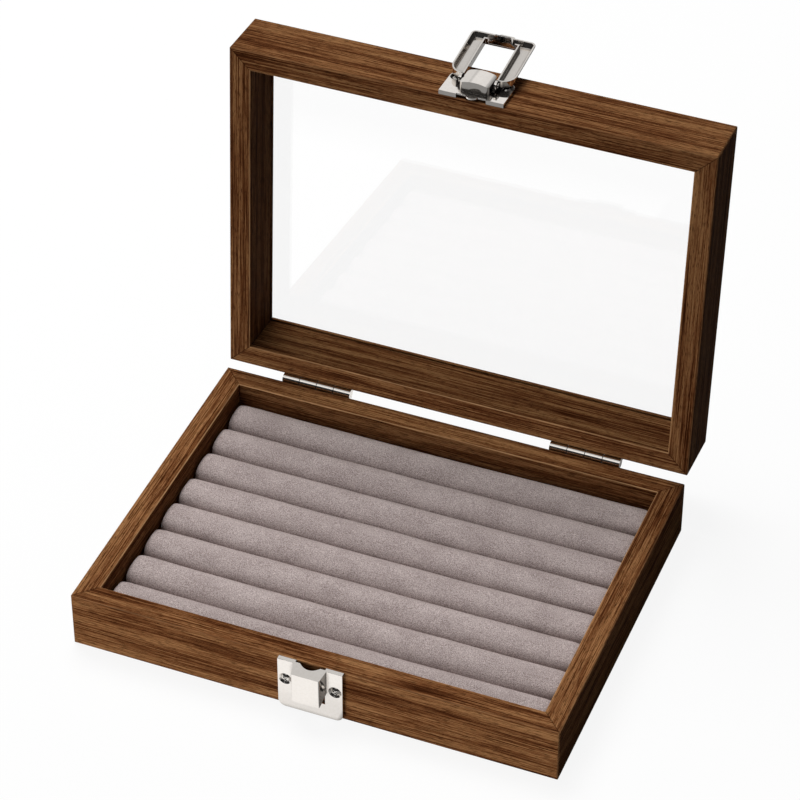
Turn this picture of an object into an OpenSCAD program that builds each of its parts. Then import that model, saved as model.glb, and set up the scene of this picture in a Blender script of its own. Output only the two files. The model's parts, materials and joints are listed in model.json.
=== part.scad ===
// Display case: a shallow mitred tray with padded velvet rolls,
// a glazed lid on two butt hinges and a swinging bail clasp at the front.
// Millimetres. The origin is the centre of the underside, +Z is up and the hinges are at +Y.
// The lid is drawn shut and then swung open, and the bail is drawn hooked and then swung up.

/* [Case] */
// Width of the case across the front
case_w = 200; // [150:1:300]
// Depth of the case from front to back
case_d = 150; // [110:1:220]
// Height of the base tray
base_h = 25; // [23:0.5:40]
// Height of the lid frame
lid_h = 25; // [20:0.5:40]
// Thickness of the base and lid rails
rail_t = 9; // [8.5:0.5:14]
// Radius of the softened long edges of the rails
edge_r = 0.8; // [0.3:0.1:1.5]
// Radius of the upright outer corners of the case
corner_r = 1; // [0.5:0.25:3]
// Gap between the two rims when the lid is shut
rim_gap = 0.1; // [0.05:0.05:0.5]

/* [Bottom] */
// Thickness of the bottom panel
panel_t = 3; // [2:0.5:5]
// How far the rebate for the panel reaches into the rails
panel_rebate = 4; // [2:0.5:5]
// Clearance round the panel in its rebate
panel_gap = 0.2; // [0.1:0.05:0.5]
// Thickness of the card under the rolls
card_t = 1.5; // [1:0.25:3]
// Clearance round the card
card_gap = 0.3; // [0.2:0.1:1]

/* [Rolls] */
// Number of velvet rolls
roll_count = 8; // [5:1:8]
// Depth of the roll crests below the rim of the tray
roll_drop = 6.7; // [5:0.1:9]
// Height of the rounded upper part of a roll
roll_dome = 6.5; // [4:0.5:8]
// Squareness of the rounded part, 2 for an ellipse
roll_square = 2.6; // [2:0.1:4]
// Gap between two rolls at their widest
roll_gap = 0.3; // [0.3:0.1:1]
// Gap between the roll ends and the side rails
roll_end_gap = 0.4; // [0.3:0.1:2]
// How far the ends of a roll are drawn in
roll_end_r = 2; // [1:0.25:3]

/* [Glass] */
// Thickness of the glass
glass_t = 2; // [1.5:0.25:3]
// Distance of the glass from the outer face of the lid
glass_drop = 1.8; // [1.5:0.1:4]
// Depth of the groove in the lid rails
groove_d = 4; // [2.5:0.5:5]
// Clearance round the glass in its groove
glass_gap = 0.1; // [0.05:0.05:0.3]

/* [Hinges] */
// Angle at which the lid rests open
lid_open = 94; // [91:1:100]
// Centre of the left hinge from the left side of the case
hinge_left = 39.6; // [30:0.1:60]
// Centre of the right hinge from the right side of the case
hinge_right = 43; // [30:0.1:60]
// Length of a hinge along its pin
hinge_w = 30; // [24:1:36]
// Height of a leaf from the pin to its far edge
leaf_h = 11; // [9:0.5:14]
// Thickness of the hinge sheet
leaf_t = 0.8; // [0.6:0.1:1]
// Outer radius of the knuckles
knuckle_r = 2; // [1.8:0.1:2.5]
// Gap between two knuckles
knuckle_gap = 0.3; // [0.2:0.05:0.5]
// Radius of the hinge pin
pin_r = 0.9; // [0.6:0.1:1]
// Radial running clearance of the pins and of the axle
pin_gap = 0.05; // [0.03:0.01:0.08]
// Clearance between the hinge leaves and the back of the case
seat_gap = 0.05; // [0.05:0.05:0.2]
// Reach of the stop tabs behind the pin
stop_reach = 3.6; // [3:0.1:4.5]
// Clearance left at a stop
stop_gap = 0.1; // [0.05:0.05:0.2]

/* [Screws] */
// Radius of the screw shanks
screw_r = 1; // [0.8:0.1:1.2]
// Radius of the screw heads
screw_head_r = 1.9; // [1.6:0.1:2.2]
// Height of the screw heads
screw_head_h = 0.9; // [0.7:0.1:1.2]
// Length of the screws under the head
screw_l = 6; // [4:0.5:7]
// Distance between the two screws of a hinge leaf
leaf_screws = 20; // [16:0.5:22]
// Distance of the hinge screws from the pin
leaf_screw_rise = 7; // [5.5:0.5:9]

/* [Clasp plates] */
// Sideways place of the clasp from the centre of the case
clasp_x = 0.8; // [-5:0.1:5]
// Width of the clasp plates and of the bail
clasp_w = 26.5; // [24:0.5:32]
// How far the plates stand out of the case
plate_out = 1.8; // [1.6:0.1:2.2]
// Thickness of the pressed sheet
sheet_t = 0.7; // [0.6:0.1:0.9]
// Distance of the base plate's lower edge from the underside
hook_plate_foot = 0.4; // [0.2:0.1:5]
// Height of the plate on the lid
lid_plate_h = 15.4; // [14:0.1:18]
// Distance of the plates from the rims
plate_inset = 0.3; // [0.2:0.1:1]
// Radius of the outer corners of the plates
plate_corner_r = 3; // [1:0.5:5]
// Width of the open notch between the two turned edges
notch_w = 12.2; // [8:0.2:14]
// Depth of the notch in the face of the plate on the lid
notch_d = 0.6; // [0.3:0.1:1]
// Distance between the two screws of a plate
plate_screws = 20.4; // [17:0.1:20.4]
// Height of the screws of the base plate below the rim
hook_screw_drop = 10; // [7:0.5:14]
// Height of the screws of the lid plate above the rim
lid_screw_rise = 12.4; // [9:0.1:12.6]
// Depth of the dimples that the screw heads sit in
dimple = 0.7; // [0.4:0.1:1]

/* [Hook] */
// Width of the hood across its front
hood_w = 11.8; // [9:0.2:13]
// How much wider the hood is at each side where it meets its plate
hood_flare = 0.9; // [0.3:0.1:1.5]
// Distance of the hood's front from the case
hood_out = 6.6; // [5.5:0.1:8]
// Height of the hood's front edge below the rim
hood_drop = 1.7; // [1.2:0.1:4]
// How much the hood's lip rises towards the plate
hood_rise = 4.2; // [3:0.1:8]
// Clearance between the hooked bail and the lip of the hood
hook_gap = 0.15; // [0.15:0.05:0.3]
// Radius of the mouth cut in the top of the hood
mouth_r = 5.3; // [4:0.1:7]
// How far the mouth reaches out of the case
mouth_out = 3.1; // [2.4:0.1:4]

/* [Housing] */
// Width of the raised housing on the lid plate
housing_w = 12; // [10:0.2:12.4]
// Length of the housing
housing_l = 10.2; // [8:0.1:12]
// Distance of the housing from the rim of the lid
housing_inset = 3; // [2:0.1:4]
// Distance of the housing's crown from the case
housing_out = 6.5; // [6:0.1:8]
// How much lower the housing is along its sides
housing_fall = 1.1; // [0.5:0.1:1.2]
// Width of the round tongue that enters the mouth of the hood
tongue_w = 5.2; // [4:0.1:6]
// Reach of the tongue beyond the notch
tongue_l = 1.7; // [1.2:0.1:2]

/* [Bail] */
// Angle between the hooked and the opened bail
bail_open = 172; // [150:1:175]
// Height of the axle above the rim of the lid
axle_rise = 8.9; // [7:0.1:10]
// Distance of the axle from the case
axle_out = 4; // [3.8:0.1:4.3]
// Radius of the axle
axle_r = 0.8; // [0.6:0.05:0.9]
// Width of the window in the bail
window_w = 13.4; // [13.2:0.2:15]
// Distance of the window's far edge from the axle
window_l = 24.9; // [22:0.1:26]
// Width of the far bar of the bail
bar_w = 3.7; // [3:0.1:4.5]
// How far the back of the bail lies behind the axle
bail_back = 1.1; // [0.4:0.1:1.6]
// How far the front of the bail lies before the axle
bail_front = 1.8; // [1.4:0.1:1.8]
// Width of the bevel round the bail
bail_bevel = 1; // [0.5:0.1:1.5]
// Reach of the finger lip beyond the far bar
lip_l = 3.4; // [2:0.1:4]
// Width of the finger lip
lip_w = 7.2; // [6:0.2:10]
// Width of the lip's root at the window
lip_root = 11.6; // [10:0.2:12]

/* [Hidden] */
$fn = 64;

// Colours as the photo shows them
walnut = "#6b4428";
board = "#4a3a30";
velvet = "#a59a9b";
nickel = "#cfcac4";
pane = [0.85, 0.92, 0.9, 0.3];

// The rim of the shut lid and the hinge line
lid_z = base_h + rim_gap;
hinge_y = case_d / 2 + seat_gap + knuckle_r;
hinge_z = base_h + rim_gap / 2;
past_square = lid_open - 90;

// The glass, measured from the rim of the lid
glass_depth = lid_h - glass_drop - glass_t - 2 * glass_gap;

// The space inside the rails
inner_w = case_w - 2 * rail_t;
inner_d = case_d - 2 * rail_t;

// The rolls
roll_pitch = inner_d / roll_count;
roll_half = (roll_pitch - roll_gap) / 2;
roll_floor = panel_t + card_t;
roll_crest = base_h - roll_drop;
roll_len = inner_w - 2 * roll_end_gap;
roll_steps = 18;
roll_foot = 1.2;

// The knuckles
knuckles = 4;
knuckle_l = (hinge_w - (knuckles - 1) * knuckle_gap) / knuckles;
knuckle_pitch = knuckle_l + knuckle_gap;
leaf_corner_r = 1.5;
hinge_x = [-case_w / 2 + hinge_left, case_w / 2 - hinge_right];

// The screws and the holes they go in
thread_gap = 0.05;
cross_w = 0.5;
cross_l = 2.4;
cross_d = 0.4;

// The clasp, with Y measured out of the case as negative
plate_top = base_h - plate_inset;
hook_plate_h = plate_top - hook_plate_foot;
lid_plate_low = lid_z + plate_inset;
axle_z = lid_z + axle_rise;
boss_r = screw_head_r + 1.1;
lip_z = axle_z - window_l + hook_gap;
hood_top = base_h - hood_drop;
hood_slope = 0.3;

// The bail, measured from its axle
bail_l = window_l + bar_w;
ear_r = axle_out - plate_out - 0.2;
ear_t = 1;
axle_head_r = axle_r + 0.35;
axle_head_l = 0.4;
shoulder = axle_head_r + 0.2;
heel_s = 0.3;
bail_lean = 180 - bail_open;
heel_t = (axle_out - plate_out - stop_gap / 2 + heel_s * sin(bail_lean)) / cos(bail_lean);

// Helpers

// A rectangle with round corners, its low corner at the origin
module soft_rect(w, h, r) {
    translate([r, 0]) square([w - 2 * r, h]);
    translate([0, r]) square([w, h - 2 * r]);
    for (x = [r, w - r], y = [r, h - r]) translate([x, y]) circle(r);
}

// Turns a profile drawn in Y and Z into a bar of a length along X
module along_x(l) {
    rotate([90, 0, 90]) linear_extrude(l, center = true) children();
}

// Turns an outline drawn in X and Z into a block that reaches out of the case
module outwards(from, to) {
    translate([0, -from, 0]) rotate([90, 0, 0]) linear_extrude(to - from) children();
}

// Swings what is drawn on the shut lid open about the hinge line
module on_lid() {
    translate([0, hinge_y, hinge_z]) rotate([-lid_open, 0, 0])
        translate([0, -hinge_y, -hinge_z]) children();
}

// Places what is drawn against the front of the case
module on_front() {
    translate([clasp_x, -case_d / 2, 0]) children();
}

// Points on an arc, for outlines
function arc(c, r, a, b, n = 8) =
    [for (i = [0:n]) let (t = a + (b - a) * i / n) [c[0] + r * cos(t), c[1] + r * sin(t)]];

// Rails

// One mitred rail at the front of a frame of a length and a depth, from a profile
module mitred_rail(len, depth, h) {
    intersection() {
        translate([0, -depth / 2, 0]) along_x(len) children();
        linear_extrude(h) intersection() {
            translate([-len / 2, -depth / 2]) soft_rect(len, depth, corner_r);
            polygon([[-len / 2, -depth / 2], [len / 2, -depth / 2],
                [len / 2 - rail_t, rail_t - depth / 2], [rail_t - len / 2, rail_t - depth / 2]]);
        }
    }
}

// Base rail in section: the outside at zero, a rebate for the panel at the lower inside
module base_profile() {
    difference() {
        soft_rect(rail_t, base_h, edge_r);
        translate([rail_t - panel_rebate, -1]) square([panel_rebate + 1, panel_t + 1]);
    }
}

// Lid rail in section: the rim at the bottom, a groove for the glass
module lid_profile() {
    difference() {
        soft_rect(rail_t, lid_h, edge_r);
        translate([rail_t - groove_d, glass_depth]) square([groove_d + 1, glass_t + 2 * glass_gap]);
    }
}

module base_rail(len, depth) {
    mitred_rail(len, depth, base_h) base_profile();
}

module lid_rail(len, depth) {
    translate([0, 0, lid_z]) mitred_rail(len, depth, lid_h) lid_profile();
}

// Screw holes, drilled into a rail from outside
module front_holes(z) {
    on_front() for (x = [-1, 1]) translate([x * plate_screws / 2, 1, z])
        rotate([-90, 0, 0]) translate([0, 0, -2]) cylinder(r = screw_r + thread_gap, h = screw_l + 1);
}

module back_holes(z) {
    for (c = hinge_x, x = [-1, 1]) translate([c + x * leaf_screws / 2, case_d / 2 + 1, z])
        rotate([90, 0, 0]) cylinder(r = screw_r + thread_gap, h = screw_l + 1);
}

module base_front_rail() {
    color(walnut) difference() {
        base_rail(case_w, case_d);
        front_holes(base_h - hook_screw_drop);
    }
}

module base_back_rail() {
    color(walnut) difference() {
        rotate([0, 0, 180]) base_rail(case_w, case_d);
        back_holes(hinge_z - leaf_screw_rise);
    }
}

module base_left_rail() {
    color(walnut) rotate([0, 0, -90]) base_rail(case_d, case_w);
}

module base_right_rail() {
    color(walnut) rotate([0, 0, 90]) base_rail(case_d, case_w);
}

module lid_front_rail() {
    color(walnut) on_lid() difference() {
        lid_rail(case_w, case_d);
        front_holes(lid_z + lid_screw_rise);
    }
}

module lid_back_rail() {
    color(walnut) on_lid() difference() {
        rotate([0, 0, 180]) lid_rail(case_w, case_d);
        back_holes(hinge_z + leaf_screw_rise);
    }
}

module lid_left_rail() {
    color(walnut) on_lid() rotate([0, 0, -90]) lid_rail(case_d, case_w);
}

module lid_right_rail() {
    color(walnut) on_lid() rotate([0, 0, 90]) lid_rail(case_d, case_w);
}

// Boards and glass

// A flat board centred in the case
module board_of(w, d, t, z) {
    translate([-w / 2, -d / 2, z]) cube([w, d, t]);
}

module base_panel() {
    grow = 2 * (panel_rebate - panel_gap);
    color(board) board_of(inner_w + grow, inner_d + grow, panel_t, 0);
}

module insert_board() {
    color(board) board_of(inner_w - 2 * card_gap, inner_d - 2 * card_gap, card_t, panel_t);
}

module lid_glass() {
    grow = 2 * (groove_d - 4 * glass_gap);
    color(pane) on_lid() board_of(inner_w + grow, inner_d + grow, glass_t,
        lid_z + glass_depth + glass_gap);
}

// Velvet rolls

// Section of a roll drawn in by an amount: a squarish dome on upright sides
function roll_section(in) =
    let (half = roll_half - in, dome = roll_dome - in / 2, spring = roll_crest - roll_dome - in / 2)
    concat(
        [[-half + roll_foot, roll_floor], [half - roll_foot, roll_floor],
            [half, roll_floor + roll_foot]],
        [for (i = [0:roll_steps]) let (a = 180 * i / roll_steps)
            [half * sign(cos(a)) * pow(abs(cos(a)), 2 / roll_square),
                spring + dome * pow(abs(sin(a)), 2 / roll_square)]],
        [[-half, roll_floor + roll_foot]]);

// How far the section is drawn in at a distance from the roll's end
function roll_draw(d) =
    d >= roll_end_r ? 0 : roll_end_r - sqrt(roll_end_r * roll_end_r - pow(roll_end_r - d, 2));

module velvet_roll(i) {
    near = [for (k = [0:4]) roll_end_r * (1 - cos(90 * k / 4))];
    places = concat(near, [for (k = [4:-1:0]) roll_len - near[k]]);
    rings = [for (p = places) let (d = min(p, roll_len - p))
        [for (q = roll_section(roll_draw(max(d, 0.05)))) [p - roll_len / 2, q[0], q[1]]]];
    n = len(rings[0]);
    last = len(rings) - 1;
    y = -inner_d / 2 + roll_pitch * (i - 0.5);
    color(velvet) translate([0, y, 0]) polyhedron(
        points = [for (r = rings, p = r) p],
        faces = concat(
            [[for (k = [0:n - 1]) k]],
            [for (r = [0:last - 1], k = [0:n - 1])
                [r * n + k, (r + 1) * n + k, (r + 1) * n + (k + 1) % n, r * n + (k + 1) % n]],
            [[for (k = [n - 1:-1:0]) last * n + k]]),
        convexity = 4);
}

module velvet_roll_1() { velvet_roll(1); }
module velvet_roll_2() { velvet_roll(2); }
module velvet_roll_3() { velvet_roll(3); }
module velvet_roll_4() { velvet_roll(4); }
module velvet_roll_5() { velvet_roll(5); }
module velvet_roll_6() { velvet_roll(6); }
module velvet_roll_7() { velvet_roll(7); }
module velvet_roll_8() { velvet_roll(8); }

// Hinges

// A leaf that hangs from the pin at the origin, its knuckles at every second place from first
module leaf(first) {
    mine = [for (i = [0:knuckles - 1]) if (i % 2 == first) i];
    other = [for (i = [0:knuckles - 1]) if (i % 2 != first) i];
    difference() {
        union() {
            translate([0, -knuckle_r, 0]) rotate([90, 0, 180]) linear_extrude(leaf_t) difference() {
                translate([-hinge_w / 2, -leaf_h]) soft_rect(hinge_w, leaf_h + leaf_corner_r, leaf_corner_r);
                translate([-hinge_w, 0]) square([2 * hinge_w, leaf_h]);
            }
            for (i = mine) knuckle_at(i, 0) cylinder(r = knuckle_r, h = knuckle_l);
        }
        for (i = other) knuckle_at(i, -knuckle_gap)
            cylinder(r = knuckle_r + knuckle_gap, h = knuckle_l + 2 * knuckle_gap);
        rotate([0, 90, 0]) cylinder(r = pin_r + pin_gap, h = hinge_w + 2, center = true);
        for (x = [-1, 1]) translate([x * leaf_screws / 2, -knuckle_r - 1, -leaf_screw_rise])
            rotate([-90, 0, 0]) cylinder(r = screw_r + thread_gap, h = leaf_t + 2);
        for (i = mine) translate([knuckle_x(i) - 1, 0, -knuckle_r])
            rotate([-30, 0, 0]) translate([0, -0.1, -1]) cube([knuckle_l + 2, 0.2, knuckle_r]);
    }
}

function knuckle_x(i) = -hinge_w / 2 + i * knuckle_pitch;

// Places what is drawn upwards so that it lies along the pin from a knuckle's start
module knuckle_at(i, shift) {
    translate([knuckle_x(i) + shift, 0, 0]) rotate([0, 90, 0]) children();
}

// The tabs behind the base knuckles that the opened lid leaf comes down on
module stop_tabs(first) {
    tab_top = (knuckle_r - leaf_t) / cos(past_square) - stop_reach * tan(past_square) - stop_gap;
    for (i = [0:knuckles - 1]) if (i % 2 == first)
        translate([knuckle_x(i), knuckle_r - leaf_t, tab_top - leaf_t])
            cube([knuckle_l, stop_reach - knuckle_r + leaf_t, leaf_t]);
}

module base_leaf(side) {
    color(nickel) translate([hinge_x[side], hinge_y, hinge_z]) union() {
        leaf(1);
        stop_tabs(1);
    }
}

module lid_leaf(side) {
    color(nickel) on_lid() translate([hinge_x[side], hinge_y, hinge_z])
        mirror([0, 0, 1]) leaf(0);
}

module hinge_pin(side) {
    color(nickel) translate([hinge_x[side], hinge_y, hinge_z]) rotate([0, 90, 0])
        cylinder(r = pin_r, h = hinge_w, center = true);
}

module left_hinge_base_leaf() { base_leaf(0); }
module left_hinge_lid_leaf() { lid_leaf(0); }
module left_hinge_pin() { hinge_pin(0); }
module right_hinge_base_leaf() { base_leaf(1); }
module right_hinge_lid_leaf() { lid_leaf(1); }
module right_hinge_pin() { hinge_pin(1); }

// Screws

// A screw whose head stands up from the origin, with its shank below
module screw() {
    dome_r = (screw_head_r * screw_head_r + screw_head_h * screw_head_h) / (2 * screw_head_h);
    difference() {
        union() {
            intersection() {
                translate([0, 0, screw_head_h - dome_r]) sphere(dome_r);
                cylinder(r = screw_head_r, h = screw_head_h + 1);
            }
            translate([0, 0, -screw_l]) cylinder(r = screw_r, h = screw_l + 0.1);
        }
        for (a = [0, 90]) rotate([0, 0, a])
            translate([-cross_l / 2, -cross_w / 2, screw_head_h - cross_d]) cube([cross_l, cross_w, 1]);
    }
}

module leaf_screw_pairs(z) {
    y = case_d / 2 + seat_gap + leaf_t;
    for (c = hinge_x, x = [-1, 1]) translate([c + x * leaf_screws / 2, y, z])
        rotate([-90, 0, 0]) screw();
}

module plate_screw_pair(z) {
    on_front() for (x = [-1, 1]) translate([x * plate_screws / 2, dimple - plate_out, z])
        rotate([90, 0, 0]) rotate([0, 0, 45 * x]) screw();
}

module hinge_base_screws() { color(nickel) leaf_screw_pairs(hinge_z - leaf_screw_rise); }
module hinge_lid_screws() { color(nickel) on_lid() leaf_screw_pairs(hinge_z + leaf_screw_rise); }
module clasp_base_screws() { color(nickel) plate_screw_pair(base_h - hook_screw_drop); }
module clasp_lid_screws() { color(nickel) on_lid() plate_screw_pair(lid_z + lid_screw_rise); }

// Clasp plates

// Outline of a plate from its square edge at zero to its round corners at a height
module plate_outline(h, in) {
    r = plate_corner_r - in;
    w = clasp_w - 2 * in;
    translate([-w / 2, in - plate_corner_r]) intersection() {
        soft_rect(w, h + plate_corner_r - 2 * in, r);
        translate([0, plate_corner_r - in]) square([w, h]);
    }
}

// A pressed tray with screw bosses at a height and a notch in its square edge, as deep in the
// face as asked
module plate_tray(h, screw_h, face_notch) {
    difference() {
        union() {
            difference() {
                outwards(0, plate_out) plate_outline(h, 0);
                outwards(-1, plate_out - sheet_t) translate([0, sheet_t]) plate_outline(h - sheet_t, sheet_t);
                translate([-notch_w / 2, sheet_t - plate_out, -1]) cube([notch_w, plate_out, sheet_t + 1.5]);
                translate([-notch_w / 2, -plate_out - 1, -1]) cube([notch_w, plate_out + 1, 1 + face_notch]);
            }
            for (x = [-1, 1]) translate([x * plate_screws / 2, 0, screw_h])
                rotate([90, 0, 0]) cylinder(r = boss_r, h = plate_out - 0.1);
        }
        for (x = [-1, 1]) translate([x * plate_screws / 2, 0, screw_h]) rotate([90, 0, 0]) {
            translate([0, 0, -1]) cylinder(r = screw_r + thread_gap, h = plate_out + 2);
            translate([0, 0, plate_out - dimple])
                cylinder(r1 = screw_head_r + 0.05, r2 = boss_r - 0.3, h = dimple + 0.01);
        }
    }
}

// Plan of the hood: a flared wall with a soft front, drawn in X and Y
module hood_plan(in) {
    half = hood_w / 2 - in;
    r = 0.8;
    polygon(concat([[-half - hood_flare, 0], [-half - hood_flare, -plate_out]],
        arc([r - half, in + r - hood_out], r, 180, 270, 4),
        arc([half - r, in + r - hood_out], r, 270, 360, 4),
        [[half + hood_flare, -plate_out], [half + hood_flare, 0]]));
}

// The hood from the side: a roof that falls outwards, an upright front and a rising mouth
module hood_side() {
    back = plate_out - sheet_t;
    slope = hood_rise / (hood_out - plate_out);
    polygon([[-back, hood_top + hood_slope * (hood_out - back)], [-hood_out, hood_top],
        [-hood_out, lip_z], [-back, lip_z + slope * (hood_out - back)]]);
}

// The hollow of the hood from the side, open towards the bottom
module hood_hollow() {
    roof = hood_top - sheet_t;
    polygon([[1, roof + hood_slope * (hood_out + 1)], [sheet_t - hood_out, roof + hood_slope * sheet_t],
        [sheet_t - hood_out, lip_z - 2], [1, lip_z - 2]]);
}

module clasp_hook_plate() {
    color(nickel) on_front() difference() {
        union() {
            translate([0, 0, plate_top]) mirror([0, 0, 1])
                plate_tray(hook_plate_h, hook_screw_drop - plate_inset, 0);
            intersection() {
                along_x(clasp_w) hood_side();
                linear_extrude(base_h) hood_plan(0);
                translate([-clasp_w / 2, -hood_out, 0]) cube([clasp_w, hood_out, plate_top]);
            }
        }
        intersection() {
            along_x(clasp_w) hood_hollow();
            linear_extrude(base_h + 1) hood_plan(sheet_t);
        }
        translate([0, mouth_r - mouth_out, hood_top - 1]) cylinder(r = mouth_r, h = base_h);
    }
}

// Outline of the housing in X and Z, drawn in by an amount
module housing_outline(in) {
    translate([in - housing_w / 2, lid_z + housing_inset + in])
        soft_rect(housing_w - 2 * in, housing_l - 2 * in, 1.4 - in);
}

// The crowned cover of the housing, with its crown at a distance from the case
module housing_block(in, from) {
    crown_r = (housing_w * housing_w / 4 + housing_fall * housing_fall) / (2 * housing_fall);
    intersection() {
        outwards(from, housing_out + 1) housing_outline(in);
        translate([0, crown_r - housing_out, lid_z]) cylinder(r = crown_r - in, h = lid_h, $fn = 128);
    }
}

// The round tongue below the notch, drawn in X and Z
module tongue() {
    r = (tongue_w * tongue_w / 4 + tongue_l * tongue_l) / (2 * tongue_l);
    root = lid_plate_low + notch_d;
    intersection() {
        translate([0, root - tongue_l + r]) circle(r);
        translate([-tongue_w, root - 2 * tongue_l]) square([2 * tongue_w, 2 * tongue_l + sheet_t]);
    }
}

module clasp_lid_plate() {
    color(nickel) on_lid() on_front() difference() {
        union() {
            translate([0, 0, lid_plate_low]) plate_tray(lid_plate_h, lid_screw_rise - plate_inset, notch_d);
            housing_block(0, plate_out - sheet_t);
            outwards(plate_out - sheet_t, plate_out) tongue();
        }
        housing_block(sheet_t, -1);
        translate([0, -axle_out, axle_z]) rotate([0, 90, 0])
            cylinder(r = axle_r + pin_gap, h = clasp_w, center = true);
    }
}

// Bail

// Outline of the bail in X and Z below its axle, drawn in by an amount
module bail_outline(in) {
    ear = window_w / 2 + ear_t;
    half = clasp_w / 2;
    near_r = half - ear;
    far_r = 2;
    right = concat(arc([ear, -shoulder - near_r], near_r - in, 90, 0),
        arc([half - far_r, far_r - bail_l], far_r - in, 360, 270, 4));
    polygon(concat(right, [for (i = [len(right) - 1:-1:0]) [-right[i][0], right[i][1]]]));
}

// The bevelled body of the bail, drawn in by an amount
module bail_body(in) {
    flat = 0.5;
    half = clasp_w / 2 - in;
    far = bail_l - in;
    front = bail_front - in;
    intersection() {
        outwards(-bail_back - in, front) bail_outline(in);
        translate([0, 0, -bail_l - 1]) linear_extrude(bail_l + 2)
            polygon([[-half, bail_back + 1], [-half, bail_back - flat], [bail_bevel - half, -front],
                [half - bail_bevel, -front], [half, bail_back - flat], [half, bail_back + 1]]);
        along_x(clasp_w + 2) polygon([[bail_back + 1, 2], [-front - 1, 2], [-front, bail_bevel - far],
            [bail_back - flat, -far], [bail_back + 1, -far]]);
    }
}

// A round ear on the axle with a heel that meets the lid plate when the bail is up
module bail_ear() {
    rotate([0, 90, 0]) cylinder(r = ear_r, h = ear_t);
    translate([0, -heel_t, -3]) cube([ear_t, heel_t, 3 - heel_s]);
}

// The lip that a finger lifts, drawn in X and Z, wide at the window and narrow at its tip
module lip_outline() {
    tip = lip_w / 2 - 0.4;
    end = -bail_l - lip_l;
    neck = -window_l - 0.6 * bar_w;
    right = concat([[lip_root / 2, -window_l], [lip_w / 2, neck], [lip_w / 2, -bail_l]],
        arc([tip - 0.8, end + 0.8], 0.8, 360, 270, 4));
    polygon(concat(right, [for (i = [len(right) - 1:-1:0]) [-right[i][0], right[i][1]]]));
}

// The bail hooked, about its axle
module bail_frame() {
    difference() {
        union() {
            difference() {
                bail_body(0);
                difference() {
                    bail_body(sheet_t);
                    translate([-window_w / 2 - sheet_t, -bail_front, -window_l - sheet_t])
                        cube([window_w + 2 * sheet_t, bail_front + bail_back + 1, window_l + 2 * sheet_t]);
                }
                outwards(-bail_back - 1, bail_front - sheet_t) lip_outline();
            }
            outwards(bail_front - sheet_t, bail_front) lip_outline();
            for (x = [-1, 1]) translate([x * (window_w + ear_t) / 2 - ear_t / 2, 0, 0]) bail_ear();
        }
        translate([-window_w / 2, -bail_front - 1, -window_l])
            cube([window_w, bail_front + bail_back + 2, window_l + ear_r + 1]);
        rotate([0, 90, 0]) cylinder(r = axle_r + pin_gap, h = clasp_w, center = true);
    }
}

module clasp_bail() {
    color(nickel) on_lid() on_front() translate([0, -axle_out, axle_z])
        rotate([-bail_open, 0, 0]) bail_frame();
}

module bail_axle() {
    span = window_w + 2 * ear_t + 4 * pin_gap;
    color(nickel) on_lid() on_front() translate([0, -axle_out, axle_z]) rotate([0, 90, 0]) {
        cylinder(r = axle_r, h = span + 2 * axle_head_l, center = true);
        for (s = [-1, 1]) translate([0, 0, s * (span + axle_head_l) / 2])
            cylinder(r = axle_head_r, h = axle_head_l, center = true);
    }
}

base_front_rail();
base_back_rail();
base_left_rail();
base_right_rail();
base_panel();
insert_board();
velvet_roll_1();
velvet_roll_2();
velvet_roll_3();
velvet_roll_4();
velvet_roll_5();
velvet_roll_6();
velvet_roll_7();
velvet_roll_8();
lid_front_rail();
lid_back_rail();
lid_left_rail();
lid_right_rail();
lid_glass();
left_hinge_base_leaf();
left_hinge_lid_leaf();
left_hinge_pin();
right_hinge_base_leaf();
right_hinge_lid_leaf();
right_hinge_pin();
hinge_base_screws();
hinge_lid_screws();
clasp_hook_plate();
clasp_lid_plate();
clasp_bail();
bail_axle();
clasp_base_screws();
clasp_lid_screws();
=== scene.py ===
import json
import math

import bmesh
import bpy
from mathutils import Euler, Matrix, Vector, noise


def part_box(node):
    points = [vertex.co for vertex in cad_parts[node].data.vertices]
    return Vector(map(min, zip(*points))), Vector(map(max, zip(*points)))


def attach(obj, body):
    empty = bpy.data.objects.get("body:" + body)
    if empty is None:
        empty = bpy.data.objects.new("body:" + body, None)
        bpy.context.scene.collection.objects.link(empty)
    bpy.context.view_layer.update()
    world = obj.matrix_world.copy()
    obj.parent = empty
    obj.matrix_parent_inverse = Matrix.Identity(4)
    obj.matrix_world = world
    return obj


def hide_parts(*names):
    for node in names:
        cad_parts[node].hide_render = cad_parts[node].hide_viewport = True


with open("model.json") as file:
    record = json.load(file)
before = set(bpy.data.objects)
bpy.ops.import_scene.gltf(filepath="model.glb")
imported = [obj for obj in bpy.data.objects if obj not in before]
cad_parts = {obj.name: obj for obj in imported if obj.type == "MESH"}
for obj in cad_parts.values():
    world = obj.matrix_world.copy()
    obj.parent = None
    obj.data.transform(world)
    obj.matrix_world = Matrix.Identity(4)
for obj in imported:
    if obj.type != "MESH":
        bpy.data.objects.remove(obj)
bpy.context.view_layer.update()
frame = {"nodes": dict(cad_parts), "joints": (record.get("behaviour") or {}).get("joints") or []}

nodes = frame["nodes"]
joints = {joint["name"]: joint for joint in frame["joints"]}
mm = 0.001

# the hinge line of the lid and the axle of the bail, and how many degrees each is opened
hingeLine = Vector(joints["lid_hinge"]["pos_m"])
lidTurn = joints["lid_hinge"]["range_deg"][1]
bailAxle = Vector(joints["bail_pivot"]["pos_m"])
bailTurn = joints["bail_pivot"]["range_deg"][1]

# half the case's width and depth, and the thickness of its rails, in metres
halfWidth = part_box("base_right_rail")[1].x
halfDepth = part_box("base_back_rail")[1].y
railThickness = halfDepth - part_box("base_back_rail")[0].y
print("frame loaded:", len(nodes), "CAD nodes")


# small helpers

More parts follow.
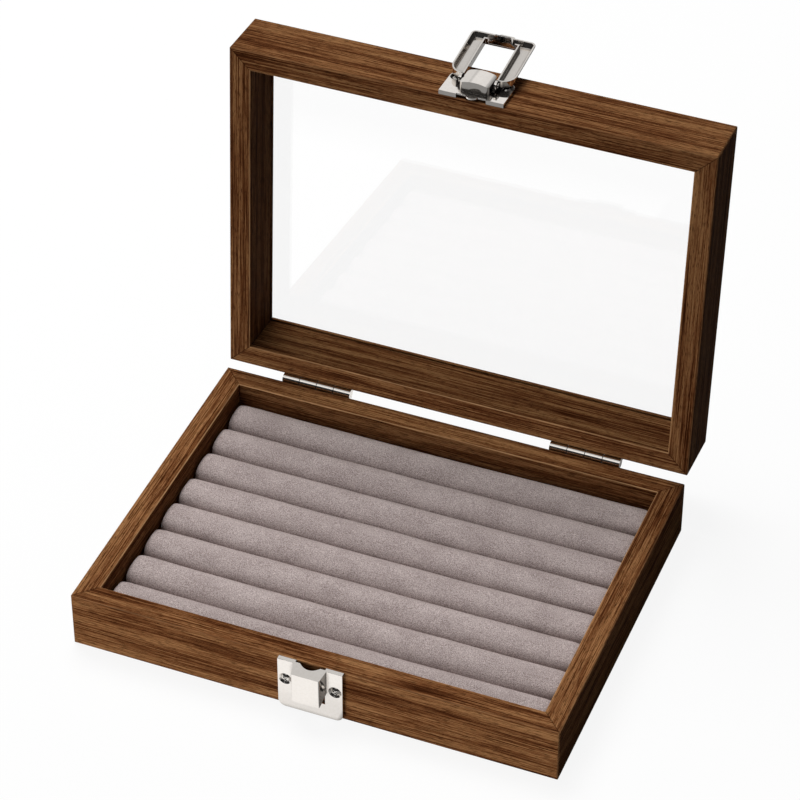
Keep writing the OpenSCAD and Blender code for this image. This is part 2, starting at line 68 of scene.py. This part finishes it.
def linear(hexColour):  # sRGB hex to the linear colour that a socket takes
    channels = [int(hexColour[i:i + 2], 16) / 255 for i in (1, 3, 5)]
    return [c / 12.92 if c <= 0.04045 else ((c + 0.055) / 1.055) ** 2.4 for c in channels] + [1]


def grey(level):  # a linear grey as a colour socket takes it
    return (level, level, level, 1)


def addNode(tree, kind, inputs=None, stops=None, **settings):
    node = tree.nodes.new("ShaderNode" + kind)
    for name, value in settings.items():
        setattr(node, name, value)
    if stops:  # a colour ramp: place and hex colour, or place and grey level
        ramp = node.color_ramp
        while len(ramp.elements) < len(stops):
            ramp.elements.new(1)
        for element, (place, colour) in zip(ramp.elements, stops):
            element.position = place
            element.color = linear(colour) if isinstance(colour, str) else grey(colour)
    for socket, value in (inputs or {}).items():
        if isinstance(value, bpy.types.NodeSocket):
            tree.links.new(value, node.inputs[socket])
        else:
            node.inputs[socket].default_value = value
    return node


def newMaterial(name):  # an empty material, its tree and its surface socket
    material = bpy.data.materials.new(name)
    material.use_nodes = True
    material.node_tree.nodes.clear()
    output = addNode(material.node_tree, "OutputMaterial")
    return material, material.node_tree, output.inputs["Surface"]


def compute(tree, operation, *values, **settings):
    return addNode(tree, "Math", dict(enumerate(values)), operation=operation, **settings).outputs[0]


def spread(tree, value, source, target):  # maps one range of values to another
    return addNode(tree, "MapRange", {"Value": value, "From Min": source[0], "From Max": source[1],
                                      "To Min": target[0], "To Max": target[1]}).outputs[0]


def mixed(tree, factor, a, b):
    return addNode(tree, "Mix", {0: factor, 6: a, 7: b}, data_type="RGBA").outputs[2]


def grains(tree, vector, along, across, detail, roughness=0.6):
    # noise stretched along the grain, both sizes in mm
    sizes = (1 / (along * mm), 1 / (across * mm), 1 / (across * mm))
    scaled = addNode(tree, "VectorMath", {0: vector, 1: sizes}, operation="MULTIPLY")
    return addNode(tree, "TexNoise", {"Vector": scaled.outputs[0], "Scale": 1, "Detail": detail,
                                      "Roughness": roughness}).outputs["Fac"]


def finishPiece(name, body, material, stands):
    piece = bpy.context.view_layer.objects.active
    piece.name = piece.data.name = name
    piece.data.materials.clear()
    piece.data.materials.append(material)
    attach(piece, body)
    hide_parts(*stands)


def soleCopy(node):  # a merged copy of a CAD node, selected and active
    bpy.ops.object.select_all(action="DESELECT")
    copy = nodes[node].copy()
    copy.data = nodes[node].data.copy()
    copy.parent = None
    for key in list(copy.keys()):
        del copy[key]
    bpy.context.collection.objects.link(copy)
    copy.hide_render = copy.hide_viewport = False
    copy.select_set(True)
    bpy.context.view_layer.objects.active = copy
    bpy.ops.object.mode_set(mode="EDIT")
    bpy.ops.mesh.select_all(action="SELECT")
    bpy.ops.mesh.remove_doubles(threshold=0.01 * mm)
    bpy.ops.mesh.customdata_custom_splitnormals_clear()
    bpy.ops.object.mode_set(mode="OBJECT")
    return copy


# camera: a long lens from the front right, looking well down

camera = dict(place=(0.36232, -0.89983, 0.90518), azimuth=21.559, elevation=39.84, roll=0.125, lens=150.03)


def cameraTurn():
    azimuth, elevation, roll = (math.radians(camera[key]) for key in ("azimuth", "elevation", "roll"))
    ahead = Vector((-math.sin(azimuth) * math.cos(elevation), math.cos(azimuth) * math.cos(elevation),
                    -math.sin(elevation)))
    level = Vector((math.cos(azimuth), math.sin(azimuth), 0))
    upright = level.cross(ahead)
    right = level * math.cos(roll) + upright * math.sin(roll)
    upward = upright * math.cos(roll) - level * math.sin(roll)
    return Matrix((right, upward, -ahead)).transposed().to_euler()


bpy.ops.object.camera_add(location=camera["place"], rotation=cameraTurn())
bpy.context.object.name = "photoCamera"
bpy.context.object.data.lens = camera["lens"]
bpy.context.object.data.clip_start = 0.05
bpy.context.scene.camera = bpy.context.object
print("camera placed")


# walnut rails

walnut = dict(
    # each grain: mm along and across, detail, roughness; real pores are 0.15 mm across and are
    # drawn coarser here, so that they show
    lines=(34, 0.5, 5, 0.74), streaks=(110, 2.4, 3, 0.55), pores=(3.2, 0.33, 2, 0.6),
    bends=(120, 14, 2), patches=(16, 3, 3),
    # growth bands: mm between them, how far they are warped, and how they are flattened
    ringGap=5.0, ringWarp=9, ringStretch=(0.05, 1, 0.6),
    # how far the bands, their bends and the streaks shift the tone
    ringTone=0.03, bendTone=0.04, streakTone=0.05,
    tones=[(0.385, "#391b0a"), (0.48, "#744729"), (0.61, "#a87a50")],
    poreStops=[(0.51, 0.0), (0.66, 0.7)], poreColour="#2a1406",
    # the glue line, in mm from the mitre, and how strongly it shows
    glueColour="#1e0f07", glueFade=(0.1, 0.35), glueShare=0.7,
    # rubbed edges: how squarely a face looks along an axis where they begin and end, and how
    # rubbed edges, paler from wear and with a painted highlight on their rounding: how squarely a face looks
    # along an axis where they begin and end, and how much less the edges away from the opening are rubbed and
    # highlit, over a stretch in mm from the opening
    rubbedHighlightColour="#e0ae7c", roundingFacing=(0.72, 0.97), innerFade=(0.5, 1.4), innerShare=0.2,
    patchRange=(0.35, 0.6), patchShare=0.45,
    # the lid's rails are darker than the base's
    lidDarkColour="#200c04", lidShare=0.34,
    roughness=(0.6, 0.48), reliefStrength=0.25, reliefDepth=0.05, specular=0.004)

# the middle of a noise's values, where its pattern is spread over the tone
noiseMiddle = (0.3, 0.7)
# the wave texture's own period at scale 1
wavePeriod = 0.314

# turns of a rail's pattern in degrees, about X and along Z, and its shift in mm, so that no two
# rails match
rails = {
    "base_front_rail": (0, 0, (0, 0, 0)),
    "base_back_rail": (0, 0, (310, 47, 9)),
    "base_left_rail": (0, -90, (520, 12, 31)),
    "base_right_rail": (0, -90, (160, 71, 18)),
    "lid_front_rail": (lidTurn, 0, (730, 33, 52)),
    "lid_back_rail": (lidTurn, 0, (410, 83, 5)),
    "lid_left_rail": (lidTurn, -90, (90, 64, 77)),
    "lid_right_rail": (lidTurn, -90, (640, 27, 40)),
}


def mitreShift(tip):
    # y of the case's middle in the turned-back coordinates: the lid turns about the hinge line
    return (Euler((math.radians(tip), 0, 0)).to_matrix() @ hingeLine - hingeLine).y


def woodTone(tree, grain, lines):
    # fine lines, shifted by slow bands: rings about a line well below the rail, bent by noise
    warp = grains(tree, grain, *walnut["bends"])
    stretched = addNode(tree, "VectorMath", {0: grain, 1: walnut["ringStretch"]}, operation="MULTIPLY")
    rings = addNode(tree, "TexWave", {"Vector": stretched.outputs[0],
                                      "Scale": wavePeriod / (walnut["ringGap"] * mm),
                                      "Distortion": walnut["ringWarp"], "Detail": 3, "Detail Scale": 0.9,
                                      "Detail Roughness": 0.55},
                    wave_type="BANDS", bands_direction="Z", wave_profile="SIN").outputs["Fac"]
    streaks = grains(tree, grain, *walnut["streaks"])
    tone = lines
    for pattern, source, shift in ((rings, (0, 1), walnut["ringTone"]),
                                   (warp, noiseMiddle, walnut["bendTone"]),
                                   (streaks, noiseMiddle, walnut["streakTone"])):
        tone = compute(tree, "ADD", tone, spread(tree, pattern, source, (-shift, shift)))
    return tone


def glueLine(tree, across, deep):
    # the mitres run inwards at 45 degrees from the corners
    off = compute(tree, "SUBTRACT", compute(tree, "SUBTRACT", across, deep), halfWidth - halfDepth)
    fade = [edge * mm for edge in walnut["glueFade"]]
    return spread(tree, compute(tree, "ABSOLUTE", off), fade, (walnut["glueShare"], 0))


def rubbedAndHighlitEdges(tree, normal, grain, across, deep):
    # the rounding, where the surface faces no axis of the case squarely, is rubbed paler and carries a
    # painted highlight, most of all round the opening
    facing = addNode(tree, "VectorMath", {0: normal}, operation="ABSOLUTE").outputs[0]
    parts = addNode(tree, "SeparateXYZ", {"Vector": facing}).outputs
    most = compute(tree, "MAXIMUM", compute(tree, "MAXIMUM", parts["X"], parts["Y"]), parts["Z"])
    paleEdge = spread(tree, most, walnut["roundingFacing"], (1, 0))
    inX = compute(tree, "SUBTRACT", across, halfWidth - railThickness)
    inY = compute(tree, "SUBTRACT", deep, halfDepth - railThickness)
    fade = [edge * mm for edge in walnut["innerFade"]]
    inner = spread(tree, compute(tree, "MAXIMUM", inX, inY), fade, (1, walnut["innerShare"]))
    paleEdge = compute(tree, "MULTIPLY", paleEdge, inner)
    patches = spread(tree, grains(tree, grain, *walnut["patches"]), walnut["patchRange"],
                     (walnut["patchShare"], 1))
    return compute(tree, "MULTIPLY", paleEdge, patches)


def walnutVeneer(rail):
    # Walnut veneer under a satin lacquer: fine straight dark lines and short pores over slow
    # bands, softly shiny, rubbed paler where the edges are handled, with a painted highlight on their
    # rounding, and dark along the mitres.
    tip, spin, shift = rails[rail]
    material, tree, surface = newMaterial("walnutVeneer." + rail)
    place = addNode(tree, "TexCoord").outputs
    # the case's own directions: the lid's are turned back to where it is shut
    turnBack = (math.radians(tip), 0, 0)
    flat = addNode(tree, "Mapping", {"Vector": place["Object"], "Rotation": turnBack}).outputs[0]
    normal = addNode(tree, "Mapping", {"Vector": place["Normal"], "Rotation": turnBack},
                     vector_type="VECTOR").outputs[0]
    grain = addNode(tree, "Mapping", {"Vector": flat, "Location": [s * mm for s in shift],
                                      "Rotation": (0, 0, math.radians(spin))}).outputs[0]
    axes = addNode(tree, "SeparateXYZ", {"Vector": flat}).outputs
    across = compute(tree, "ABSOLUTE", axes["X"])
    deep = compute(tree, "ABSOLUTE", compute(tree, "SUBTRACT", axes["Y"], mitreShift(tip)))

    lines = grains(tree, grain, *walnut["lines"])
    tone = woodTone(tree, grain, lines)
    colour = addNode(tree, "ValToRGB", {"Fac": tone}, stops=walnut["tones"]).outputs[0]
    pores = addNode(tree, "ValToRGB", {"Fac": grains(tree, grain, *walnut["pores"])},
                    stops=walnut["poreStops"]).outputs[0]
    colour = mixed(tree, pores, colour, linear(walnut["poreColour"]))
    colour = mixed(tree, glueLine(tree, across, deep), colour, linear(walnut["glueColour"]))
    # rubbed paler edges, with a painted highlight along their rounding
    paleEdge = rubbedAndHighlitEdges(tree, normal, grain, across, deep)
    colour = mixed(tree, paleEdge, colour, linear(walnut["rubbedHighlightColour"]))
    # the lid's rails are mixed towards a dark brown
    if tip:
        colour = mixed(tree, walnut["lidShare"], colour, linear(walnut["lidDarkColour"]))

    relief = compute(tree, "ADD", compute(tree, "MULTIPLY", pores, -1), lines)
    bump = addNode(tree, "Bump", {"Height": relief, "Strength": walnut["reliefStrength"],
                                  "Distance": walnut["reliefDepth"] * mm})
    shine = spread(tree, lines, noiseMiddle, walnut["roughness"])
    wood = addNode(tree, "BsdfPrincipled", {"Base Color": colour, "Normal": bump.outputs[0], "IOR": 1.5,
                                            "Roughness": shine, "Specular IOR Level": walnut["specular"]})
    tree.links.new(wood.outputs[0], surface)
    return material


for rail in rails:
    nodes[rail].material_slots[0].material = walnutVeneer(rail)
print("walnut on", len(rails), "rails")


# metal

nickel = dict(
    plate="#fbf6f1", roughness=0.07, leaf="#ebe7e2", leafRoughness=0.09,
    # faint waves of the pressed sheet and the haze of rubbing, in mm, and how the haze dulls
    wave=(4, 4, 1), waveStrength=0.1, waveDepth=0.1,
    hazeGrain=(1.2, 1.2, 4), hazeColour="#f0e9e1", hazeRange=(0.35, 0.7), dulling=(0.7, 1.5),
    # painted shade in the creases, where ambient occlusion finds them: how deep a crease is looked for, in
    # mm, and how dark the painted shade gets
    creaseShadeColour="#3a342f", crease=3.5, creaseRange=(0.3, 0.85), creaseShare=0.9)

# rounding of the sheet's edges and of its wide folds in mm, the angles in degrees that count as
# flat, as an edge and as smooth, and how near a fold its points lie, in mm
pressing = dict(edge=0.16, fold=0.8, segments=3, flat=1, sharp=35, smooth=40, near=0.02)
# where the wide fold of a plate lies when the box is shut: y and z in mm
folds = {"clasp_hook_plate": (-76.8, 24.7), "clasp_lid_plate": (-76.8, 25.4)}

# mm in the bail's own directions, from its axle: how far along the arms the tongue stands, where
# its root lies in the floor of the bail, and half its width at each height
tongue = dict(place=24.9, root=-1.4, lean=14, thick=0.8,
              halves=((5.8, 0), (5.6, 0.7), (4.6, 1.5), (3.9, 1.9), (3.5, 3.9), (3.0, 4.4)))


def polishedNickel(name, colour, roughness):
    # Bright nickel plate on pressed steel: mirror-like and slightly warm, with the faint waves of
    # the pressed sheet, a haze of fine rubbing that breaks up the reflections, and painted shade in its
    # creases.
    material, tree, surface = newMaterial(name)
    place = addNode(tree, "TexCoord").outputs["Object"]
    wave = grains(tree, place, *nickel["wave"])
    haze = grains(tree, place, *nickel["hazeGrain"])
    dull = spread(tree, haze, nickel["hazeRange"], [roughness * share for share in nickel["dulling"]])
    tint = mixed(tree, haze, linear(colour), linear(nickel["hazeColour"]))
    # painted shade: the colour darkens towards a dark grey-brown in the creases
    openness = addNode(tree, "AmbientOcclusion", {"Distance": nickel["crease"] * mm}, samples=8).outputs["AO"]
    crease = spread(tree, openness, nickel["creaseRange"], (nickel["creaseShare"], 0))
    tint = mixed(tree, crease, tint, linear(nickel["creaseShadeColour"]))
    bump = addNode(tree, "Bump", {"Height": wave, "Strength": nickel["waveStrength"],
                                  "Distance": nickel["waveDepth"] * mm})
    metal = addNode(tree, "BsdfPrincipled", {"Base Color": tint, "Metallic": 1, "Roughness": dull,
                                             "Normal": bump.outputs[0]})
    tree.links.new(metal.outputs[0], surface)
    return material


def shutPlace(point):  # where a point of the opened lid lies when the lid is shut
    return Euler((math.radians(lidTurn), 0, 0)).to_matrix() @ (point - hingeLine) + hingeLine


def roundBends(node, body):
    # each bend and edge of the sheet gets a small rounding, and the long fold along the rim a wide one
    piece = bpy.context.object
    bpy.ops.object.mode_set(mode="EDIT")
    bpy.ops.mesh.select_all(action="SELECT")
    bpy.ops.mesh.dissolve_limited(angle_limit=math.radians(pressing["flat"]))
    bpy.ops.object.mode_set(mode="OBJECT")
    shape = bmesh.new()
    shape.from_mesh(piece.data)
    weights = shape.edges.layers.float.new("bevel_weight_edge")
    for edge in shape.edges:
        if len(edge.link_faces) != 2 or edge.calc_face_angle(0) < math.radians(pressing["sharp"]):
            continue
        ends = [v.co if body == "base" else shutPlace(v.co) for v in edge.verts]
        onFold = node in folds and all((end.yz / mm - Vector(folds[node])).length < pressing["near"]
                                       for end in ends)
        edge[weights] = 1 if onFold else pressing["edge"] / pressing["fold"]
    shape.to_mesh(piece.data)
    shape.free()
    rounding = piece.modifiers.new("rounding", "BEVEL")
    rounding.width = pressing["fold"] * mm
    rounding.segments = pressing["segments"]
    rounding.limit_method = "WEIGHT"
    bpy.ops.object.modifier_apply(modifier="rounding")
    bpy.ops.object.shade_smooth_by_angle(angle=math.radians(pressing["smooth"]))
    even = piece.modifiers.new("even", "WEIGHTED_NORMAL")
    even.keep_sharp = True
    bpy.ops.object.modifier_apply(modifier="even")


def addTongue(piece):
    # the catch tongue, folded up from the far edge of the window: it bears on the hood from below
    laidBack = Euler((math.radians(270 - lidTurn - bailTurn), 0, 0)).to_matrix()
    arm, up = laidBack @ Vector((0, 1, 0)), laidBack @ Vector((0, 0, 1))
    lean = math.radians(tongue["lean"])
    rise = arm * math.sin(lean) + up * math.cos(lean)
    back = arm * math.cos(lean) - up * math.sin(lean)
    root = bailAxle + (arm * tongue["place"] + up * tongue["root"]) * mm
    outline = [(x, s) for x, s in tongue["halves"]] + [(-x, s) for x, s in reversed(tongue["halves"])]
    shape = bmesh.new()
    shape.from_mesh(piece.data)
    front = [shape.verts.new(root + (Vector((x, 0, 0)) + rise * s) * mm) for x, s in outline]
    rear = [shape.verts.new(v.co + back * tongue["thick"] * mm) for v in front]
    made = [shape.faces.new(front), shape.faces.new(rear)]
    for i in range(len(front)):
        j = (i + 1) % len(front)
        made.append(shape.faces.new((front[i], front[j], rear[j], rear[i])))
    bmesh.ops.recalc_face_normals(shape, faces=made)
    shape.to_mesh(piece.data)
    shape.free()


plateMetal = polishedNickel("polishedNickelPlate", nickel["plate"], nickel["roughness"])
leafMetal = polishedNickel("nickelPlatedSteel", nickel["leaf"], nickel["leafRoughness"])

# the clasp's pressed sheets
for node, name, body in (("clasp_hook_plate", "hookPlate", "base"), ("clasp_lid_plate", "lidPlate", "lid"),
                         ("clasp_bail", "swingingBail", "bail")):
    sheet = soleCopy(node)
    if body == "bail":
        addTongue(sheet)
    roundBends(node, body)
    finishPiece(name, body, plateMetal, [node])
# hinges, screws and the axle keep their CAD shape
for node in nodes:
    if "hinge" in node or "screws" in node or "axle" in node:
        nodes[node].material_slots[0].material = leafMetal
print("metal finished")


# velvet rolls

firstLow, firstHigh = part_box("velvet_roll_1")
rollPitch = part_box("velvet_roll_2")[0].y - firstLow.y
rollCount = sum(node.startswith("velvet_roll_") for node in nodes)

# the filling, in mm: size of the mesh, how far the cover starts inside the solid, the pressure,
# how far it may move, and the room beyond the solid at a roll's sides and ends
filling = dict(voxel=1.7, slack=0.35, pressure=4, frames=20, cap=0.45, sideRoom=0.08, endRoom=0.2)
# how far a cover wanders, over which length and height, and from what height it does so fully,
# all in mm, then the noise's step from roll to roll and its seed
wander = dict(reach=0.22, length=26, height=14, full=12, step=7.3, seed=1)

velvet = dict(
    tones=[(0.34, "#7f716e"), (0.5, "#b4a5a2"), (0.66, "#ddd0cd")],
    # fibre ends and stroked patches: mm along and across, detail, roughness
    fibre=(0.33, 0.33, 3, 0.65), stroke=(12.8, 8, 3, 0.5), strokeTone=0.03,
    sheenColour="#f0e8e5", sheen=0.65, sheenRoughness=0.3,
    roughness=0.95, specular=0.02, pileStrength=0.35, pileDepth=0.15)


def brushedVelvet():
    # Short cotton velvet over foam: a dense upright pile, matt and pale where it leans to the
    # light, with a fine fleck of fibre ends and soft patches where it was stroked.
    material, tree, surface = newMaterial("brushedVelvet")
    place = addNode(tree, "TexCoord").outputs["Object"]
    fleck = grains(tree, place, *velvet["fibre"])
    stroke = grains(tree, place, *velvet["stroke"])
    lean = spread(tree, stroke, noiseMiddle, (-velvet["strokeTone"], velvet["strokeTone"]))
    tone = compute(tree, "ADD", fleck, lean)
    colour = addNode(tree, "ValToRGB", {"Fac": tone}, stops=velvet["tones"]).outputs[0]
    bump = addNode(tree, "Bump", {"Height": fleck, "Strength": velvet["pileStrength"],
                                  "Distance": velvet["pileDepth"] * mm})
    pile = addNode(tree, "BsdfPrincipled", {"Base Color": colour, "Normal": bump.outputs[0],
                                            "Roughness": velvet["roughness"],
                                            "Specular IOR Level": velvet["specular"],
                                            "Sheen Weight": velvet["sheen"],
                                            "Sheen Roughness": velvet["sheenRoughness"],
                                            "Sheen Tint": linear(velvet["sheenColour"])})
    tree.links.new(pile.outputs[0], surface)
    return material


def keepInPlace(point, middle):
    # holds a point of a roll inside the room that its neighbours, the card and the rails leave
    side = (firstHigh.y - firstLow.y) / 2 + filling["sideRoom"] * mm
    end = firstHigh.x + filling["endRoom"] * mm
    return Vector((max(-end, min(end, point.x)), max(middle - side, min(middle + side, point.y)),
                   max(firstLow.z, point.z)))


def fillCover(piece):
    cloth = piece.modifiers.new("filling", "CLOTH")
    cloth.settings.use_pressure = True
    cloth.settings.uniform_pressure_force = filling["pressure"]
    cloth.settings.effector_weights.gravity = 0
    for step in range(1, filling["frames"] + 1):
        bpy.context.scene.frame_set(step)
    bpy.ops.object.modifier_apply(modifier="filling")
    bpy.context.scene.frame_set(1)


def swollenRoll():
    # the first roll, let out a little by its filling
    piece = soleCopy("velvet_roll_1")
    piece.data.remesh_voxel_size = filling["voxel"] * mm
    piece.data.remesh_voxel_adaptivity = 0
    bpy.ops.object.voxel_remesh()
    bpy.ops.object.mode_set(mode="EDIT")
    bpy.ops.mesh.select_all(action="SELECT")
    bpy.ops.transform.shrink_fatten(value=-filling["slack"] * mm)
    bpy.ops.mesh.vertices_smooth(factor=0.5, repeat=3)
    bpy.ops.object.mode_set(mode="OBJECT")
    start = [v.co.copy() for v in piece.data.vertices]
    fillCover(piece)
    for vertex, before in zip(piece.data.vertices, start):
        move = vertex.co - before
        if move.length > filling["cap"] * mm:
            move *= filling["cap"] * mm / move.length
        vertex.co = keepInPlace(before + move, (firstLow.y + firstHigh.y) / 2)
    smooth = piece.modifiers.new("ease", "SUBSURF")
    smooth.levels = smooth.render_levels = 1
    bpy.ops.object.modifier_apply(modifier="ease")
    bpy.ops.object.shade_smooth()
    return piece


def wandered(point, i):
    # the cover wanders a little, more towards the crest
    high = max(0, min(1, (point.z - firstLow.z) / (wander["full"] * mm)))
    sway = noise.noise_vector(Vector((point.x / (wander["length"] * mm), i * wander["step"],
                                      point.z / (wander["height"] * mm))))
    return point + Vector((0, sway.y, sway.z)) * wander["reach"] * mm * high


noise.seed_set(wander["seed"])  # the same wander in each run
pattern = swollenRoll()
velvetPile = brushedVelvet()
for i in range(rollCount):
    bpy.ops.object.select_all(action="DESELECT")
    pattern.select_set(True)
    bpy.context.view_layer.objects.active = pattern
    bpy.ops.object.duplicate()
    shift = Vector((0, i * rollPitch, 0))
    middle = (firstLow.y + firstHigh.y) / 2 + shift.y
    piece = bpy.context.object
    for vertex in piece.data.vertices:
        vertex.co = keepInPlace(wandered(vertex.co + shift, i), middle)
    finishPiece(f"velvetRoll{i + 1}", "base", velvetPile, [f"velvet_roll_{i + 1}"])
bpy.data.objects.remove(pattern)
print("rolls filled:", rollCount)


# boards and glass

# fibre: mm across; its length is so many times that
hardboard = dict(dark="#4a3526", pale="#6d523c", fibre=0.5)
greyCard = dict(dark="#77706a", pale="#9a938c", fibre=0.4)
felt = dict(length=4, patch=(22, 22, 2), places=(0.4, 0.8), strength=0.3, depth=0.08,
            roughness=0.75, specular=0.3)
pane = dict(body="#ffffff", clear="#fafcfb", ior=1.5)


def pressedBoard(name, board):
    # Hardboard or grey card: pressed fibre, matt, with a fine felted fleck of longer fibres.
    material, tree, surface = newMaterial(name)
    place = addNode(tree, "TexCoord").outputs["Object"]
    fleck = grains(tree, place, board["fibre"] * felt["length"], board["fibre"], 5)
    tone = compute(tree, "ADD", fleck, grains(tree, place, *felt["patch"]))
    stops = list(zip(felt["places"], (board["dark"], board["pale"])))
    colour = addNode(tree, "ValToRGB", {"Fac": tone}, stops=stops).outputs[0]
    bump = addNode(tree, "Bump", {"Height": fleck, "Strength": felt["strength"],
                                  "Distance": felt["depth"] * mm})
    fibres = addNode(tree, "BsdfPrincipled", {"Base Color": colour, "Normal": bump.outputs[0],
                                              "Roughness": felt["roughness"],
                                              "Specular IOR Level": felt["specular"]})
    tree.links.new(fibres.outputs[0], surface)
    return material


def floatGlass():
    # Clear float glass: next to no colour, mirror smooth.
    material, tree, surface = newMaterial("floatGlass")
    glass = addNode(tree, "BsdfPrincipled", {"Base Color": linear(pane["body"]), "Roughness": 0,
                                             "IOR": pane["ior"], "Transmission Weight": 1})
    clear = addNode(tree, "BsdfTransparent", {"Color": linear(pane["clear"])})
    path = addNode(tree, "LightPath").outputs
    # light on its way to the rolls goes straight through
    straight = compute(tree, "MAXIMUM", path["Is Shadow Ray"], path["Is Diffuse Ray"])
    shader = addNode(tree, "MixShader", {0: straight, 1: glass.outputs[0], 2: clear.outputs[0]})
    tree.links.new(shader.outputs[0], surface)
    return material


nodes["base_panel"].material_slots[0].material = pressedBoard("temperedHardboard", hardboard)
nodes["insert_board"].material_slots[0].material = pressedBoard("greyBoard", greyCard)
nodes["lid_glass"].material_slots[0].material = floatGlass()
print("boards and glass finished")


# floor, lamps and world

lamps = {"keySoftbox": dict(place=(-0.75, -1.3, 0.6), power=5, size=(0.8, 0.8)),
         "topSoftbox": dict(place=(-0.4, 0.4, 1.4), power=21, size=(0.8, 0.8)),
         "lowCard": dict(place=(-0.2, -0.95, 0.012), power=4.8, size=(0.7, 0.02))}
# a lamp's aim rises above the floor by this share of its own height
aimShare = 1 / 12

paper = dict(
    colour="#ffffff", bounce="#6c6a68",
    # how much of it glows, seen straight, behind the glass and mirrored in the metal
    glow=0.9, glassGlow=0.97, mirrorGlow=0.75,
    # where bright metal sees the sweep end, before and behind, and the painted shade that darkens the floor
    # at the right, in m
    sweepEnd=(0.115, 0.15), cardEdge=(0.011, 0.0135), unlit=0.06)

# what bright metal sees, by height: a dark room under a pale ceiling, with a white card at the
# left, a high window in front that lights the folds and knuckles, and nothing lit at the right
room = dict(
    walls=[(0.0, 0.02), (0.34, 0.03), (0.41, 0.8), (0.5, 0.8), (0.64, 0.62), (1.0, 0.6)],
    window=[(0.0, 0.02), (0.59, 0.04), (0.65, 1.0), (1.0, 1.0)], windowEdge=(-0.3, -0.42),
    card=0.7, cardEdge=(-0.34, -0.42), cardFoot=(0.0, 0.1),
    right=0.02, rightEdge=(0.0, 0.14), rightShare=0.85,
    ambient=0.05)


def paleFloor():
    # Matt paper sweep: seen as white, with the object's shadow kept faintly on it.
    material, tree, surface = newMaterial("paperSweep")
    path = addNode(tree, "LightPath").outputs
    shade = mixed(tree, path["Is Diffuse Ray"], linear(paper["colour"]), linear(paper["bounce"]))
    matt = addNode(tree, "BsdfDiffuse", {"Color": shade})
    place = addNode(tree, "SeparateXYZ", {"Vector": addNode(tree, "TexCoord").outputs["Object"]}).outputs
    away = compute(tree, "ABSOLUTE", place["Y"])
    sweep = spread(tree, away, paper["sweepEnd"], (1, paper["unlit"]))
    # painted shade: bright metal sees the floor dark at the right
    darkRight = spread(tree, place["X"], paper["cardEdge"], (1, paper["unlit"]))
    sweep = compute(tree, "MINIMUM", sweep, darkRight)
    mirror = compute(tree, "SUBTRACT", path["Is Glossy Ray"], path["Is Transmission Ray"], use_clamp=True)
    glow = addNode(tree, "Emission", {"Color": mixed(tree, mirror, grey(1), sweep), "Strength": 1})
    seen = compute(tree, "MULTIPLY", path["Is Camera Ray"], paper["glow"])
    behind = compute(tree, "MULTIPLY", path["Is Transmission Ray"], paper["glassGlow"])
    mirrored = compute(tree, "MULTIPLY", mirror, paper["mirrorGlow"])
    share = compute(tree, "MAXIMUM", compute(tree, "MAXIMUM", seen, behind), mirrored)
    shader = addNode(tree, "MixShader", {0: share, 1: matt.outputs[0], 2: glow.outputs[0]})
    tree.links.new(shader.outputs[0], surface)
    return material


def mirroredRoom(tree):
    sides = addNode(tree, "SeparateXYZ", {"Vector": addNode(tree, "TexCoord").outputs["Generated"]}).outputs
    colour = addNode(tree, "ValToRGB", {"Fac": sides["Z"]}, stops=room["walls"]).outputs[0]
    whiteCard = compute(tree, "MULTIPLY", spread(tree, sides["X"], room["cardEdge"], (0, 1)),
                        spread(tree, sides["Z"], room["cardFoot"], (0, 1)))
    colour = mixed(tree, whiteCard, colour, grey(room["card"]))
    window = addNode(tree, "ValToRGB", {"Fac": sides["Z"]}, stops=room["window"]).outputs[0]
    colour = mixed(tree, spread(tree, sides["Y"], room["windowEdge"], (0, 1)), colour, window)
    right = spread(tree, sides["X"], room["rightEdge"], (0, room["rightShare"]))
    return mixed(tree, right, colour, grey(room["right"]))


def studioAir():
    # white for the camera and through the glass, the room in bright metal, and dim elsewhere
    world = bpy.data.worlds.new("studioAir")
    world.use_nodes = True
    tree = world.node_tree
    tree.nodes.clear()
    path = addNode(tree, "LightPath").outputs
    seen = compute(tree, "MAXIMUM", path["Is Camera Ray"], path["Is Transmission Ray"])
    level = mixed(tree, path["Is Glossy Ray"], grey(room["ambient"]), mirroredRoom(tree))
    level = mixed(tree, seen, level, grey(1))
    air = addNode(tree, "Background", {"Color": level, "Strength": 1})
    tree.links.new(air.outputs[0], addNode(tree, "OutputWorld").inputs["Surface"])
    return world


bpy.ops.object.select_all(action="DESELECT")
bpy.ops.mesh.primitive_plane_add(size=12, location=(0, 0, -0.2 * mm))  # just under the case
floor = bpy.context.object
floor.name = "paperFloor"
floor.data.materials.append(paleFloor())

for name, lamp in lamps.items():
    aim = Vector((0, 0, lamp["place"][2] * aimShare)) - Vector(lamp["place"])
    bpy.ops.object.light_add(type="AREA", location=lamp["place"],
                             rotation=aim.to_track_quat("-Z", "Y").to_euler())
    light = bpy.context.object
    light.name = name
    light.data.energy = lamp["power"]
    light.data.shape = "RECTANGLE"
    light.data.size, light.data.size_y = lamp["size"]
    light.visible_glossy = False  # bright metal sees the room instead

bpy.context.scene.world = studioAir()
bpy.context.scene.view_settings.view_transform = "Standard"
print("floor and lamps placed")
